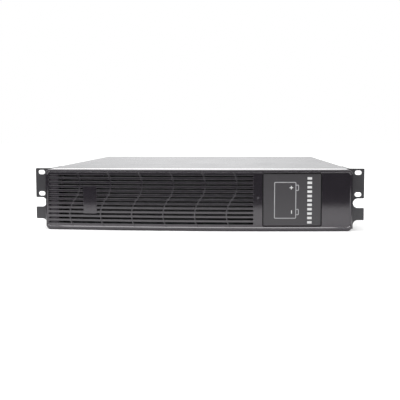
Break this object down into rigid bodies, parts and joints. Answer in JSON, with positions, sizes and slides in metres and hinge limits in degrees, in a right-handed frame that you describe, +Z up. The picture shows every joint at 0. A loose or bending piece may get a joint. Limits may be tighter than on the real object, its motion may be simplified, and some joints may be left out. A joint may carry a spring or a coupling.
{
  "type": "external ups battery pack",
  "caption": "Low rack-mount battery case with a bowed black slotted bezel, a pictogram plate, slotted rack ears and battery plugs at the back; feeds a power supply.",
  "frame": {"origin": "middle of the underside of the whole pack's box", "axes": "+Z up, +Y towards the back panel, +X to the right of someone facing the bezel"},
  "size_m": [0.4826, 0.461, 0.088],
  "materials": {
    "bezel_plastic": "semi-gloss black moulding",
    "plate_film": "matt dark grey film with pale print",
    "case_paint": "fine dark powder coat",
    "ear_paint": "dark grey powder coat",
    "retainer_paint": "matt black",
    "galvanised_steel": "galvanised",
    "screw_steel": "black zinc",
    "battery_case": "dark moulded case",
    "lens_plastic": "smoked acrylic",
    "gasket_rubber": "matt black",
    "foam": "closed-cell foam",
    "lead_sheath": "flexible sheath",
    "board_laminate": "green laminate",
    "block_plastic": "moulded",
    "fuse_body": "pale fuse barrel",
    "contact_metal": "plated",
    "socket_plastic": "moulded black"
  },
  "bodies": {
    "root": {"battery_1": "battery_case", "battery_2": "battery_case", "battery_3": "battery_case", "battery_4": "battery_case", "battery_5": "battery_case", "battery_6": "battery_case", "battery_7": "battery_case", "battery_8": "battery_case", "battery_retainer": "retainer_paint", "battery_tray_left": "galvanised_steel", "battery_tray_right": "galvanised_steel", "board_screws": "screw_steel", "board_standoffs": "contact_metal", "chassis_tray": "case_paint", "cover_screws": "screw_steel", "dc_contacts_1": "contact_metal", "dc_contacts_2": "contact_metal", "dc_socket_1": "socket_plastic", "dc_socket_2": "socket_plastic", "ear_screws": "screw_steel", "foam_strip_left": "foam", "foam_strip_right": "foam", "front_bezel": "bezel_plastic", "fuse_board": "board_laminate", "fuse_links": "fuse_body", "ground_nut": "contact_metal", "ground_stud": "contact_metal", "hold_down_strap_left": "galvanised_steel", "hold_down_strap_right": "galvanised_steel", "icon_plate": "plate_film", "pack_leads_left": "lead_sheath", "pack_leads_right": "lead_sheath", "plate_gasket": "gasket_rubber", "rack_ear_left": "ear_paint", "rack_ear_right": "ear_paint", "rear_panel": "case_paint", "rear_panel_screws": "screw_steel", "retainer_screws": "screw_steel", "series_jumpers_left": "lead_sheath", "series_jumpers_right": "lead_sheath", "socket_leads_1": "lead_sheath", "socket_leads_2": "lead_sheath", "socket_screws_1": "screw_steel", "socket_screws_2": "screw_steel", "status_lens": "lens_plastic", "strap_screws_left": "screw_steel", "strap_screws_right": "screw_steel", "terminal_blocks": "block_plastic", "top_cover": "case_paint", "tray_guide_rail": "galvanised_steel", "tray_stop_angle": "galvanised_steel"}
  },
  "joints": []
}
